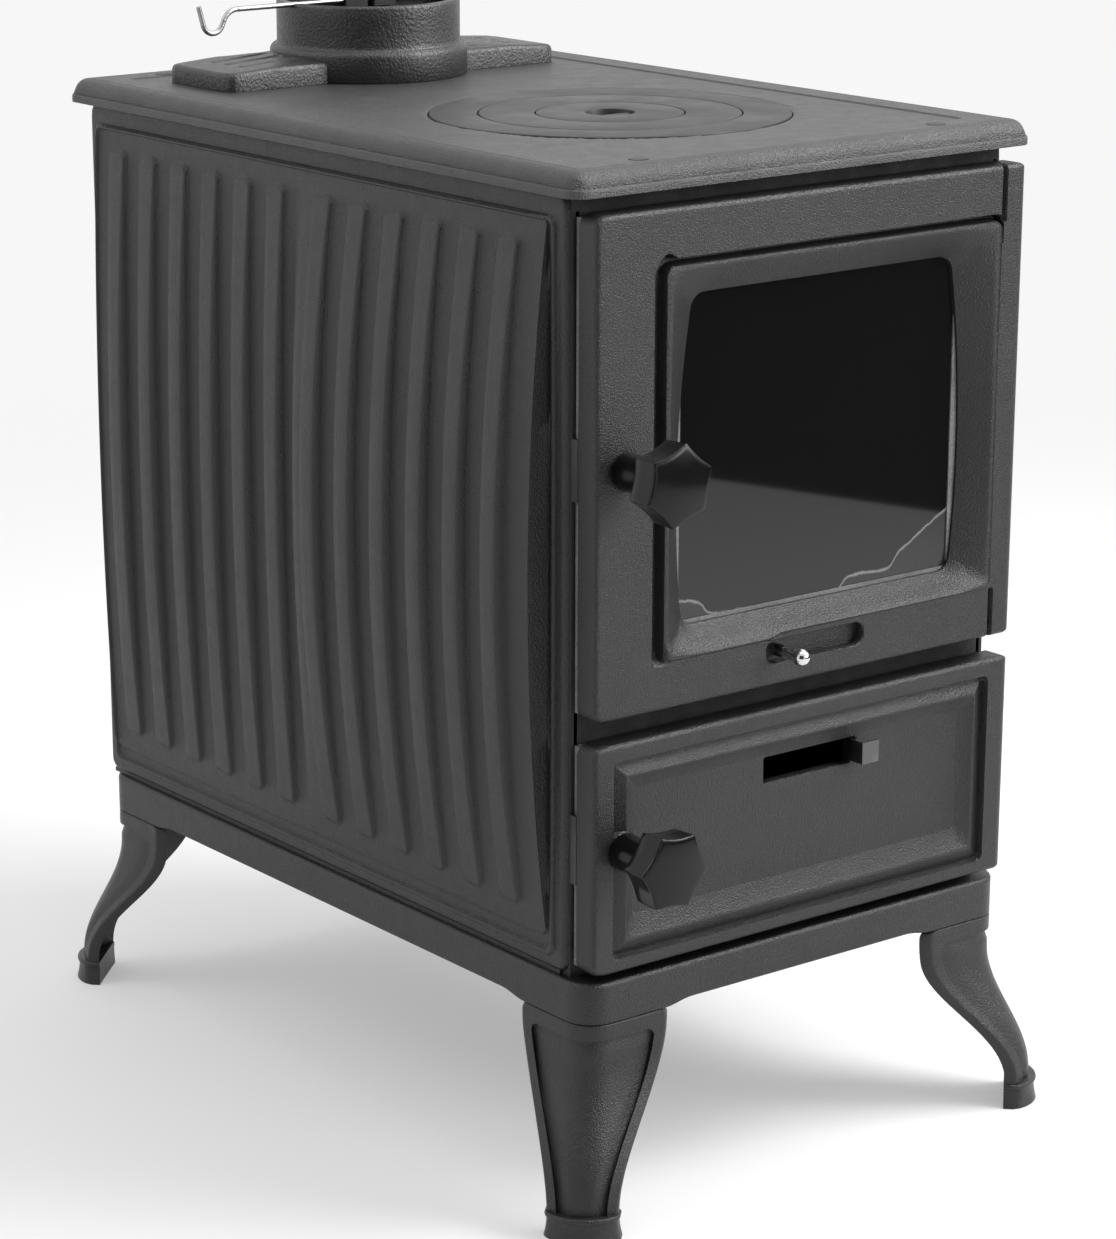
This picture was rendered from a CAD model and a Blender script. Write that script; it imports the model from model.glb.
# %% [markdown]
# # A cast-iron box stove, dressed for its photograph
#
# The stove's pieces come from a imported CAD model: every casting, rope, pin and
# screw is there at its real size. This lesson puts the looks on them. Castings
# have soft edges, fine relief and the grain of their sand mould, so the pieces
# that show most are worked out again here as surfaces with numpy, and the rest
# get softened edges and a finish.
#
# Lengths are written in millimetres on the stove's own axes: X from the middle,
# Y from the side walls' front edges towards the back, Z up from the floor.

import math

import bpy
import numpy as np
from mathutils import Matrix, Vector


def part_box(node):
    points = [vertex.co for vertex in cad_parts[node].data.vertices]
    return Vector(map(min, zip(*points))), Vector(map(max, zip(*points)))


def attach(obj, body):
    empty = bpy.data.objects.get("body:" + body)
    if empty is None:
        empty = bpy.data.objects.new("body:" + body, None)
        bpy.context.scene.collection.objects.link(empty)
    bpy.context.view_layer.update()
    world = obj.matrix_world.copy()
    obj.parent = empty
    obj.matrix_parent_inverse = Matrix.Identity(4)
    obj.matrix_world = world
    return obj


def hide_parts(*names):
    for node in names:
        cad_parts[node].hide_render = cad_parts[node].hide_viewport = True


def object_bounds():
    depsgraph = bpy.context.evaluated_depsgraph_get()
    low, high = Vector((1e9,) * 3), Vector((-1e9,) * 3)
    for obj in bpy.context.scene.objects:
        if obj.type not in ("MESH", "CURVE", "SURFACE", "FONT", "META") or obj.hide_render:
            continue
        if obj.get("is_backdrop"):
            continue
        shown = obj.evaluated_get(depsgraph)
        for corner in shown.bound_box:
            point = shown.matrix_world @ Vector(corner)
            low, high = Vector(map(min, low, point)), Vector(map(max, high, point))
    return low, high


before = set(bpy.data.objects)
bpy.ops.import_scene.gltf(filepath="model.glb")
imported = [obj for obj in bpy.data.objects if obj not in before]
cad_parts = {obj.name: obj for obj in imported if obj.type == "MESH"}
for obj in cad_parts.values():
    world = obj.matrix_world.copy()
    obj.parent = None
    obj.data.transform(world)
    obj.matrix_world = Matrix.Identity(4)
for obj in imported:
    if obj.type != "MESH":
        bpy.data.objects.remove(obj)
cad_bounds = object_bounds()
front_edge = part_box("side_wall_left")[0][1]

# %% [markdown]
# The frame is in metres and its origin is under the middle of the whole
# object. One small function turns the stove's millimetres into the frame's
# metres, and another reads where a CAD node lies, back in millimetres.

# %% Units
def metres(points):
    """Points in millimetres on the stove's axes, as metres in the frame."""
    return np.asarray(points, float) / 1000.0 + np.array([0.0, front_edge, 0.0])


def node_box(name):
    """Lowest and highest corner of a CAD node, in millimetres on the stove's axes."""
    low, high = (np.array(corner, float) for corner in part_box(name))
    shift = np.array([0.0, front_edge, 0.0])
    return (low - shift) * 1000.0, (high - shift) * 1000.0


wall_low, wall_high = node_box("side_wall_left")
plate_low, plate_high = node_box("top_plate")
glass_front = node_box("door_glass")[0][1]
print("side wall", wall_low.round(1), wall_high.round(1), "glass front", glass_front.round(2))

# %% [markdown]
# ## The camera
#
# The photograph was taken from the front left, a little above the cooktop, with
# a long lens whose optical axis isn't in the middle of the cropped picture.
# The view direction is two angles and a small roll. The lens follows from the
# focal length in pixels, and the crop becomes a small shift.
#
# The same numbers tell where a pixel of the picture lies on the stove: its ray
# leaves the camera and ends on a surface whose depth is known.

# %% Camera
PICTURE_W = 1116
PICTURE_H = 1239
FOCAL_PX = 3703.3
AXIS_PX = (450.0, 700.0)     # where the lens axis meets the picture
AZIMUTH = math.radians(36.318)
ELEVATION = math.radians(16.596)
ROLL = math.radians(-0.348)
CAMERA_MM = (-1504.0, -1688.1, 979.3)
SENSOR = 36.0


def view_axes():
    """The camera's right, up and forward directions: two angles aim it, then the roll turns it."""
    along = np.array([math.sin(AZIMUTH) * math.cos(ELEVATION),
                      math.cos(AZIMUTH) * math.cos(ELEVATION), -math.sin(ELEVATION)])
    right = np.cross(along, [0.0, 0.0, 1.0])
    right /= np.linalg.norm(right)
    up = np.cross(right, along)
    return math.cos(ROLL) * right + math.sin(ROLL) * up, math.cos(ROLL) * up - math.sin(ROLL) * right, along


def pixel_ray(pixel):
    """Direction of a pixel: forward by the focal length, sideways and up by the pixels from the axis."""
    right, up, along = view_axes()
    return along * FOCAL_PX + right * (pixel[0] - AXIS_PX[0]) + up * (AXIS_PX[1] - pixel[1])


def on_glass(pixel):
    """Where a pixel's ray meets the plane of the door glass, in millimetres."""
    ray = pixel_ray(pixel)
    return np.array(CAMERA_MM) + ray * (glass_front - CAMERA_MM[1]) / ray[1]


def put(name, data, place=None, axes=None):
    """New object in the scene. A camera or light also gets a place and right, up and forward axes."""
    thing = bpy.data.objects.new(name, data)
    if axes:
        right, up, along = axes
        turn = np.eye(4)
        turn[:3, :3] = np.column_stack([right, up, -along])
        turn[:3, 3] = place
        thing.matrix_world = Matrix(turn.tolist())
    bpy.context.scene.collection.objects.link(thing)
    return thing


def add_camera():
    """Camera at the photograph's place, with the crop as a shift of the picture."""
    data = bpy.data.cameras.new("camera")
    data.sensor_width = SENSOR
    data.lens = FOCAL_PX / PICTURE_H * SENSOR
    data.shift_x = (PICTURE_W / 2 - AXIS_PX[0]) / PICTURE_H
    data.shift_y = (AXIS_PX[1] - PICTURE_H / 2) / PICTURE_H
    data.clip_end = 50
    camera = put("camera", data, metres(CAMERA_MM), view_axes())
    bpy.context.scene.camera = camera
    return camera


camera = add_camera()
print("lens %.1f mm, shift %.3f %.3f" % (camera.data.lens, camera.data.shift_x, camera.data.shift_y))

# %% [markdown]
# ## Writing node trees
#
# Materials and the world are trees of nodes. A small class makes them short to
# write: calling it adds a node and fills its inputs, with numbers or with links
# from other nodes. The nodes that come up most have a method of their own.

# %% Node trees
WHITE = (1.0, 1.0, 1.0, 1.0)


class Nodes:
    """Node tree of a material or a world, written as calls."""

    def __init__(self, owner):
        owner.use_nodes = True
        self.owner = owner
        self.tree = owner.node_tree
        self.tree.nodes.clear()

    def __call__(self, kind, inputs=None, **settings):
        node = self.tree.nodes.new("ShaderNode" + kind)
        for key, value in settings.items():
            setattr(node, key, value)
        for key, value in (inputs or {}).items():
            if isinstance(value, bpy.types.NodeSocket):
                self.tree.links.new(value, node.inputs[key])
            else:
                node.inputs[key].default_value = value
        return node

    def place(self):
        """Object coordinates, in metres."""
        return self("TexCoord").outputs["Object"]

    def noise(self, place, scale, detail, roughness):
        """Noise between 0 and 1, its scale per metre."""
        return self("TexNoise", {"Vector": place, "Scale": scale, "Detail": detail,
                                 "Roughness": roughness}).outputs[0]

    def span(self, value, start, end, low=0.0, high=1.0, **settings):
        """low where the value is at start, high at end, straight between them and held beyond."""
        return self("MapRange", {"Value": value, "From Min": start, "From Max": end, "To Min": low,
                                 "To Max": high}, **settings).outputs[0]

    def calc(self, operation, first, second=0.0, clamp=False):
        """Result of a Math node."""
        return self("Math", {0: first, 1: second}, operation=operation, use_clamp=clamp).outputs[0]

    def blend(self, share, first, second):
        """The first colour where the share is 0, the second where it is 1."""
        return self("Mix", {0: share, 6: first, 7: second}, data_type="RGBA").outputs[2]

    def seen(self):
        """1 on rays straight from the camera, off a mirror or through glass, 0 on rays that light things."""
        path = self("LightPath").outputs
        direct = self.calc("ADD", path["Is Camera Ray"], path["Is Transmission Ray"], True)
        return self.calc("ADD", direct, path["Is Glossy Ray"], True)

    def done(self, shader, kind="Material"):
        """Puts a shader on the output and gives the material back."""
        self("Output" + kind, {"Surface": shader.outputs[0]})
        return self.owner


def grey(value, warm=0.0):
    """Linear grey, with that share more red and less blue when it is warm."""
    return (value * (1 + warm), value, value * (1 - warm), 1.0)


print("node trees ready")

# %% [markdown]
# ## The studio
#
# The background is white and the floor is pale, with one soft shadow. The floor
# is a large plane that turns into a plain white backdrop away from the stove.
# Soft area lights shine from above, from high on the left and from the front
# right. The glass mirrors a pale floor that ends in the dark, and what faces the
# camera mirrors the dark too: two dark cards stand there, and only mirrors see
# them. The right card stands where the floor's mirror image ends on the glass,
# so its foot is found by following two pixels' rays on from the glass.

# %% Studio
FLOOR_HALF = 14.0
BACKDROP_NEAR = 0.75         # metres from the stove where the floor starts to turn white
BACKDROP_FAR = 2.6
FLOOR_LIFT = 0.35            # how much of the floor's own shade the camera sees as plain white
WORLD_LIGHT = 0.66
MIRROR_PX = ((711, 479), (938, 512))     # on the glass, where the mirrored floor ends
CARD_REACH = (-1.6, 1.8)     # metres that the right card runs from the first of them
CARD_BACK = ((-0.60, -2.96), (-2.96, -1.12))   # the back card's foot on the stove's axes
LIGHTS = {                   # place and target in metres, size in metres, power in watts
    "over": ((0.3, -0.2, 2.6), (0.0, 0.0, 0.5), (2.2, 1.6), 20),
    "left": ((-1.7, 0.9, 2.2), (0.0, 0.0, 0.4), (1.2, 1.2), 10),
    "front": ((1.4, -1.2, 2.1), (0.0, 0.0, 0.5), (1.3, 1.1), 58),
    "low": ((1.6, -2.1, 1.15), (0.0, 0.0, 0.4), (1.3, 1.1), 26),
}


def add_world():
    """White to the camera, to mirrors and through glass, and an even soft light."""
    node = Nodes(bpy.data.worlds.new("studio"))
    lit = node("Background", {"Color": WHITE, "Strength": WORLD_LIGHT})
    backdrop = node("Background", {"Color": WHITE, "Strength": 1.0})
    mixed = node("MixShader", {0: node.seen(), 1: lit.outputs[0], 2: backdrop.outputs[0]})
    bpy.context.scene.world = node.done(mixed, "World")


def floor_finish():
    """Pale floor that keeps the shadow and turns into a white backdrop further away."""
    node = Nodes(bpy.data.materials.new("floor"))
    away = node("VectorMath", {0: node.place()}, operation="LENGTH").outputs["Value"]
    fade = node.span(away, BACKDROP_NEAR, BACKDROP_FAR, FLOOR_LIFT, 1.0, interpolation_type="SMOOTHSTEP")
    share = node.calc("MULTIPLY", fade, node.seen())
    shade = node("BsdfPrincipled", {"Base Color": grey(0.86), "Roughness": 0.8, "Specular IOR Level": 0.15})
    white = node("Emission", {"Color": grey(0.93), "Strength": 1.0})
    return node.done(node("MixShader", {0: share, 1: shade.outputs[0], 2: white.outputs[0]}))


def add_stage(name, corners, material):
    """Four-cornered piece of the studio. Corners in metres."""
    mesh = bpy.data.meshes.new(name)
    mesh.from_pydata(corners, [], [(0, 1, 2, 3)])
    mesh.materials.append(material)
    piece = put(name, mesh)
    piece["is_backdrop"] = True
    return piece


def mirrored_floor(pixel):
    """Floor point that the glass mirrors at a pixel: the ray goes on with its depth turned round."""
    spot = on_glass(pixel)
    ray = pixel_ray(pixel) * np.array([1.0, -1.0, 1.0])
    return (spot - ray * spot[2] / ray[2])[:2] / 1000.0


def add_card(name, line, height):
    """Dark upright card on a line on the floor, that only mirrors see."""
    (x0, y0), (x1, y1) = np.array(line) + np.array([0.0, front_edge])
    node = Nodes(bpy.data.materials.new(name))
    felt = node("BsdfPrincipled", {"Base Color": grey(0.02), "Roughness": 0.95})
    corners = [(x0, y0, 0.0), (x1, y1, 0.0), (x1, y1, height), (x0, y0, height)]
    card = add_stage(name, corners, node.done(felt))
    card.visible_camera = False
    card.visible_diffuse = False
    card.visible_shadow = False


def add_light(name, place, target, size, power):
    """Soft rectangular light that looks at its target."""
    data = bpy.data.lights.new(name, "AREA")
    data.shape = "RECTANGLE"
    data.size, data.size_y = size
    data.energy = power
    aim = np.array(target) - np.array(place)
    aim /= np.linalg.norm(aim)
    side = np.cross(aim, [0.0, 0.0, 1.0])
    side /= np.linalg.norm(side)
    put(name, data, place, (side, np.cross(side, aim), aim))


add_world()
h = FLOOR_HALF
add_stage("floor", [(-h, -h, 0), (h, -h, 0), (h, h, 0), (-h, h, 0)], floor_finish())
near, far = (mirrored_floor(pixel) for pixel in MIRROR_PX)
card_along = (far - near) / np.linalg.norm(far - near)
add_card("card_right", [near + reach * card_along for reach in CARD_REACH], 0.45)
add_card("card_back", CARD_BACK, 2.4)
for light, settings in LIGHTS.items():
    add_light(light, *settings)
bpy.context.scene.view_settings.view_transform = "Standard"
print("studio ready, the mirrored floor ends at", near.round(2), far.round(2))

# %% [markdown]
# ## The finishes
#
# Every finish is procedural. Cast iron that has been painted keeps the grain
# of its sand mould, so the paint has three scales of noise: broad clouds that
# change the colour a little, a middling unevenness, and a fine grain that bends
# the light and flecks the colour. The same recipe with other numbers makes the
# enamel of the knobs, the soot inside and the drawn wire. Turned iron has fine
# rings instead, which follow the distance from the cooktop's middle.

# %% Finishes
COOK_Y = 180.0               # the cooktop's middle
TURNED_Z = 650.0


def surface(name, dark, light, roughness, metallic=0.0, grain=900.0, grain_up=0.05,
            cloud=14.0, lump=90.0, lump_up=0.03, shine=0.5, speckle=0.0):
    """Grainy finish: clouds mix two colours, lumps vary the roughness, lumps and grain bend the light."""
    node = Nodes(bpy.data.materials.new(name))
    place = node.place()
    clouds = node.noise(place, cloud, 4.0, 0.6)
    lumps = node.noise(place, lump, 3.0, 0.55)
    grains = node.noise(place, grain, 2.0, 0.6)
    colour = node.blend(node.span(clouds, 0.35, 0.65), dark, light)
    fleck = node.span(grains, 0.35, 0.7, 1.0 - speckle, 1.0 + speckle)
    tint = node("VectorMath", {0: colour, 1: fleck}, operation="MULTIPLY")
    broad = node("Bump", {"Height": lumps, "Strength": lump_up, "Distance": 0.004})
    fine = node("Bump", {"Height": grains, "Strength": grain_up, "Distance": 0.0010,
                         "Normal": broad.outputs[0]})
    return node.done(node("BsdfPrincipled", {
        "Base Color": tint.outputs[0], "Roughness": node.span(lumps, 0.3, 0.7, *roughness),
        "Metallic": metallic, "Normal": fine.outputs[0], "Specular IOR Level": shine}))


def turned_finish(name, dark, light, centre):
    """Lathe-turned iron: noise of the distance from an upright axis, broken up by clouds."""
    node = Nodes(bpy.data.materials.new(name))
    place = node.place()
    away = node("VectorMath", {0: place, 1: centre}, operation="DISTANCE").outputs["Value"]
    marks = node.noise(node("CombineXYZ", {"X": away}).outputs[0], 900.0, 3.0, 0.7)
    clouds = node.noise(place, 22.0, 5.0, 0.6)
    grains = node.noise(place, 700.0, 3.0, 0.6)
    colour = node.blend(node.span(node.calc("MULTIPLY", marks, clouds), 0.16, 0.36), dark, light)
    ridges = node("Bump", {"Height": marks, "Strength": 0.25, "Distance": 0.0006})
    fine = node("Bump", {"Height": grains, "Strength": 0.3, "Distance": 0.0006,
                         "Normal": ridges.outputs[0]})
    return node.done(node("BsdfPrincipled", {
        "Base Color": colour, "Roughness": node.span(clouds, 0.35, 0.65, 0.40, 0.56),
        "Normal": fine.outputs[0]}))


FINISH = {
    "paint": surface("paint", grey(0.007), grey(0.010), (0.30, 0.40), grain_up=0.75, lump_up=0.08,
                     shine=0.5, speckle=0.15),
    "paint_top": surface("paint_top", grey(0.018), grey(0.026), (0.38, 0.48), grain_up=1.0,
                         lump_up=0.08, shine=0.7, speckle=0.2),
    "soot": surface("soot", grey(0.012), grey(0.022), (0.7, 0.9), grain_up=0.4, lump_up=0.2),
    "collar": surface("collar", grey(0.012), grey(0.016), (0.34, 0.46), grain=520.0, grain_up=0.7,
                      lump=160.0, lump_up=0.05, shine=0.6, speckle=0.12),
    "turned": turned_finish("turned", grey(0.008), grey(0.017), tuple(metres((0.0, COOK_Y, TURNED_Z)))),
    "gloss": surface("gloss", grey(0.003), grey(0.005), (0.12, 0.20), grain_up=0.02, lump=40.0,
                     lump_up=0.01, shine=0.25),
    "dull": surface("dull", grey(0.03), grey(0.06), (0.45, 0.6), metallic=0.6, grain_up=0.2),
    "steel": surface("steel", grey(0.30), grey(0.42), (0.28, 0.42), metallic=1.0, grain_up=0.1),
    "zinc": surface("zinc", grey(0.40, 0.02), grey(0.55, 0.02), (0.25, 0.38), metallic=1.0),
    "plated": surface("plated", grey(0.13), grey(0.19), (0.34, 0.48), metallic=1.0, grain_up=0.15),
    "chrome": surface("chrome", grey(0.62), grey(0.70), (0.05, 0.10), metallic=1.0, grain_up=0.02,
                      lump_up=0.01),
    "board": surface("board", grey(0.50, 0.12), grey(0.62, 0.12), (0.85, 0.95), grain=500.0,
                     grain_up=0.6, speckle=0.2),
    "rope": surface("rope", grey(0.10), grey(0.20), (0.85, 0.95), grain=1400.0, grain_up=0.9,
                    speckle=0.4),
}
print("finishes:", ", ".join(sorted(FINISH)))

# %% [markdown]
# ## The glass and its film
#
# The door glass is new and still has a torn protective film along its lower
# edge, whose upper edge shows as a pale ragged line. Thirteen points of that
# line are pixels of the photograph. Their rays are followed to the glass, and a
# curve through them gives the film's height at each place across.

# %% Glass
FILM_PX = ((678, 601), (699, 603), (712, 613), (742, 609), (768, 606), (810, 601), (833, 592),
           (852, 575), (869, 572), (885, 569), (898, 552), (909, 543), (919, 533))
FILM_X = (-100.0, 140.0)     # the part of the glass that the curve is drawn over
FILM_Z = (360.0, 420.0)


def glass_finish():
    """Dark mirroring glass. Its height over the film's curve, made ragged by noise, picks the colour."""
    node = Nodes(bpy.data.materials.new("glass"))
    place = node.place()
    parts = node("SeparateXYZ", {"Vector": place}).outputs
    along = node.span(parts["X"], FILM_X[0] / 1000, FILM_X[1] / 1000)
    up = node.span(parts["Z"], FILM_Z[0] / 1000, FILM_Z[1] / 1000)
    edge = node("FloatCurve", {"Value": along})
    curve = edge.mapping.curves[0]
    spots = [on_glass(pixel) for pixel in FILM_PX]
    spots = [((x - FILM_X[0]) / (FILM_X[1] - FILM_X[0]), (z - FILM_Z[0]) / (FILM_Z[1] - FILM_Z[0]))
             for x, _, z in spots]
    curve.points[0].location = (0.0, spots[0][1])
    curve.points[-1].location = (1.0, 1.0)
    for spot in spots:
        curve.points.new(*spot)
    edge.mapping.update()
    ragged = node.span(node.noise(place, 160.0, 3.0, 0.5), 0.3, 0.7, -0.012, 0.012)
    over = node.calc("SUBTRACT", up, node.calc("ADD", edge.outputs[0], ragged))
    below = node.span(over, 0.006, -0.006)
    line = node.span(node.calc("ABSOLUTE", over), 0.022, 0.004)
    colour = node.blend(line, node.blend(below, grey(0.004), grey(0.020)), grey(0.16))
    return node.done(node("BsdfPrincipled", {
        "Base Color": colour, "Roughness": node.span(below, 0.0, 1.0, 0.03, 0.16), "IOR": 1.5}))


FINISH["glass"] = glass_finish()
print("film from", on_glass(FILM_PX[0]).round(1), "to", on_glass(FILM_PX[-1]).round(1))

# %% [markdown]
# ## Dressing the CAD nodes
#
# Each node gets the finish of what its real piece is made of. Pieces inside and
# behind keep their CAD shape, and the castings among them get softened edges,
# as a casting that comes out of sand never has a sharp one. The bevel only works
# on edges sharper than 30 degrees, so curved faces stay as they are.

# %% CAD nodes
NODE_FINISH = {
    "paint": "base_plate side_wall_left side_wall_right back_wall leg_front_left "
             "leg_front_right leg_back_left leg_back_right fire_door ash_door flue_collar "
             "fire_air_slide wall_bolts",
    "paint_top": "top_plate cooktop_outer_ring cooktop_middle_ring cooktop_lid",
    "dull": "top_screws fire_keeper ash_keeper hinge_pins",
    "soot": "front_frame grate_bed grate baffle_plate log_guard damper_disc damper_clamp pan_rails",
    "gloss": "fire_knob ash_knob",
    "steel": "damper_rod fire_spindle ash_spindle fire_tongue ash_tongue glass_clips ash_pan "
             "ash_pan_handle fire_slide_guides ash_slide_guides",
    "plated": "ash_air_slide",
    "zinc": "clip_screws collar_bolts leg_bolts fire_tongue_nut ash_tongue_nut",
    "chrome": "fire_air_pin",
    "board": "liner_left liner_right liner_back",
    "rope": "fire_door_rope ash_door_rope glass_gasket",
    "glass": "door_glass",
}
BEVEL_MM = {"front_frame": 1.2, "back_wall": 1.5, "baffle_plate": 1.0, "log_guard": 1.0, "grate": 0.8,
            "ash_pan": 0.5, "ash_pan_handle": 0.5, "liner_left": 1.0, "liner_right": 1.0,
            "liner_back": 1.0, "door_glass": 0.6}


def soften(thing, width_mm):
    """Bevel on the sharp edges, with normals that keep the flat faces flat."""
    bevel = thing.modifiers.new("soft_edges", "BEVEL")
    bevel.width = width_mm / 1000.0
    bevel.segments = 3
    bevel.limit_method = "ANGLE"
    bevel.angle_limit = math.radians(30)
    bevel.harden_normals = True
    bevel.use_clamp_overlap = True


for finish, names in NODE_FINISH.items():
    for name in names.split():
        cad_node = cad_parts[name]
        cad_node.data.materials.clear()
        cad_node.data.materials.append(FINISH[finish])
        if name in BEVEL_MM:
            soften(cad_node, BEVEL_MM[name])
dressed = sum(len(names.split()) for names in NODE_FINISH.values())
print("dressed", dressed, "of", len(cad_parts), "nodes")

# %% [markdown]
# ## Meshes and edges
#
# A piece is made as arrays: its points in millimetres and its faces as quads.
# One function turns them into a mesh that rides on its body and stands for its
# CAD node. The shapes themselves come from signed distances, which are
# negative inside an outline and grow by a millimetre for each millimetre away
# from it. An edge, a groove or a slope is then a function of one number.

# %% Meshes and edges
def add_mesh(name, points_mm, faces, finish, body, replaced, sharp=38.0):
    """Closed mesh from millimetre points, smooth but for edges sharper than an angle."""
    mesh = bpy.data.meshes.new(name)
    faces = np.asarray(faces, np.int32)
    points = metres(points_mm)
    mesh.vertices.add(len(points))
    mesh.vertices.foreach_set("co", points.astype(np.float32).ravel())
    sides = faces.shape[1]
    mesh.loops.add(faces.size)
    mesh.loops.foreach_set("vertex_index", faces.ravel())
    mesh.polygons.add(len(faces))
    mesh.polygons.foreach_set("loop_start", np.arange(0, faces.size, sides, dtype=np.int32))
    mesh.polygons.foreach_set("loop_total", np.full(len(faces), sides, np.int32))
    mesh.update(calc_edges=True)
    mesh.validate()
    mesh.shade_smooth()
    mesh.set_sharp_from_angle(angle=math.radians(sharp))
    mesh.materials.append(FINISH[finish])
    piece = put(name, mesh)
    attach(piece, body)
    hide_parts(replaced)
    print(name, len(faces), "quads")


def round_distance(dx, dz, corner):
    """Signed distance to a rounded corner, from how far a point lies past the arc's centre each way.

    Past it both ways it is the hypotenuse, else the larger of the two, and less the radius.
    """
    return np.hypot(np.maximum(dx, 0), np.maximum(dz, 0)) + np.minimum(np.maximum(dx, dz), 0) - corner


def box_distance(x, z, box, corner):
    """Signed distance to a rectangle (low x, low z, high x, high z) with round corners."""
    cx, cz = (box[0] + box[2]) / 2, (box[1] + box[3]) / 2
    dx = np.abs(x - cx) - (box[2] - box[0]) / 2 + corner
    dz = np.abs(z - cz) - (box[3] - box[1]) / 2 + corner
    return round_distance(dx, dz, corner)


def smooth(value, start, end):
    """0 at start, 1 at end, with a smooth S between them."""
    t = np.clip((value - start) / (end - start), 0, 1)
    return t * t * (3 - 2 * t)


def arch(value, low, high):
    """Parabola that is 1 half way between low and high, and 0 at both and beyond."""
    t = np.clip((value - low) / (high - low), 0, 1)
    return 4 * t * (1 - t)


def edge_roll(inside, radius):
    """How far a rounded edge falls at a distance inside it: a quarter circle."""
    t = np.clip(1 - inside / radius, 0, 1)
    return radius * (1 - np.sqrt(1 - t * t))


def level(height):
    """Height function of a flat face."""
    return lambda a, b: 0.0 * a + height


def lying(bottom, shift=0.0):
    """Place function of a slab that lies flat: X, Y moved by a shift, and the height over a bottom."""
    return lambda x, y, height: np.stack([x, y + shift, bottom + height], -1)


print("edges ready: half way through a 3 mm edge it has fallen", round(float(edge_roll(1.5, 3.0)), 2), "mm")

# %% [markdown]
# ## Slabs
#
# The big castings are slabs with a relief on their front, so one function makes
# them all. It lays a grid of lines over the slab's plan, close together
# where the relief turns a corner and wide apart where it is flat. Cells outside
# the outline or in a hole are dropped, the vertices left on the rim are pulled
# onto the true outline, and walls join the front to the back.

# %% Slabs
NUDGE = 0.05                 # step over which an outline's slope is measured


def grid_lines(low, high, step, marks=(), near=(0.0, 0.6, 1.3, 2.2, 3.4, 5.0)):
    """Sorted grid lines: at each mark and closely beside it, elsewhere step apart."""
    chosen = [low, high]
    wanted = [(m + side * o, 0.4) for o in near for m in marks for side in (-1, 1)]
    wanted += [(v, step * 0.6) for v in np.arange(low + step, high, step)]
    for value, room in wanted:
        if low < value < high and min(abs(value - c) for c in chosen) >= room:
            chosen.append(value)
    return np.array(sorted(chosen))


def outward(points, faces):
    """The faces, turned over if they look inwards (the volume they enclose is then negative)."""
    p = np.asarray(points, float)[faces]
    fan = np.cross(p[:, 1] - p[:, 0], p[:, 2] - p[:, 0]) + np.cross(p[:, 2] - p[:, 0], p[:, 3] - p[:, 0])
    return faces if (p[:, 0] * fan).sum() > 0 else faces[:, ::-1]


def slab(across, up, front, back, place, outline):
    """Points and quads of a closed slab.

    across and up are grid lines, front and back give the heights of its two
    faces over them, place turns (across, up, height) into millimetres, and
    outline is the signed distance to the slab's plan, negative inside.
    """
    a, b = np.meshgrid(across, up)
    kept = outline((a[:-1, :-1] + a[1:, 1:]) / 2, (b[:-1, :-1] + b[1:, 1:]) / 2) < 0
    index = np.arange(a.size).reshape(a.shape)
    corner = np.stack([index[:-1, :-1], index[:-1, 1:], index[1:, 1:], index[1:, :-1]], -1)
    padded = np.pad(kept, 1)
    gone = (~padded[:-2, 1:-1], ~padded[1:-1, 2:], ~padded[2:, 1:-1], ~padded[1:-1, :-2])
    edges = np.concatenate([corner[kept & gone[k]][:, [k, (k + 1) % 4]] for k in range(4)])
    rim = np.unique(edges)
    flat_a, flat_b = a.ravel().copy(), b.ravel().copy()
    for _ in range(3):
        ra, rb = flat_a[rim], flat_b[rim]
        d = outline(ra, rb)
        slope_a = (outline(ra + NUDGE, rb) - outline(ra - NUDGE, rb)) / (2 * NUDGE)
        slope_b = (outline(ra, rb + NUDGE) - outline(ra, rb - NUDGE)) / (2 * NUDGE)
        size = np.maximum(slope_a ** 2 + slope_b ** 2, 0.25)
        flat_a[rim] -= d * slope_a / size
        flat_b[rim] -= d * slope_b / size
    quads = corner[kept]
    used = np.unique(quads)
    number = np.full(a.size, -1)
    number[used] = np.arange(len(used))
    fa, fb = flat_a[used], flat_b[used]
    points = np.concatenate([place(fa, fb, front(fa, fb)), place(fa, fb, back(fa, fb))])
    quads, edges = number[quads], number[edges]
    shift = len(used)
    walls = np.stack([edges[:, 1], edges[:, 0], edges[:, 0] + shift, edges[:, 1] + shift], -1)
    return points, outward(points, np.concatenate([quads, quads[:, ::-1] + shift, walls]))


print("slabs ready")

# %% [markdown]
# ## Rings of points
#
# Turned pieces, the knobs and the base are rings of points, each joined to the
# next. A lathe's ring is a circle. A ring can be any other closed line too.

# %% Rings of points
def ring_body(rings, closed=False):
    """Points and quads of a body given as rings of points, as an array (rings, points, 3).

    Each ring is joined to the next. The two ends are covered with strips of
    quads, or, for a closed body, the last ring is joined to the first.
    """
    rings = np.asarray(rings, float)
    count, around = rings.shape[:2]
    index = np.arange(count * around).reshape(count, around)
    lower = index if closed else index[:-1]
    upper = np.roll(index, -1, 0) if closed else index[1:]
    sides = np.stack([lower, np.roll(lower, -1, 1), np.roll(upper, -1, 1), upper], -1).reshape(-1, 4)
    parts = [sides]
    if not closed:
        i = np.arange(around // 2 - 1)
        strip = np.stack([i, around - 1 - i, around - 2 - i, i + 1], -1)
        parts += [strip, index[-1, 0] + strip[:, ::-1]]
    points = rings.reshape(-1, 3)
    return points, outward(points, np.concatenate(parts))


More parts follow.
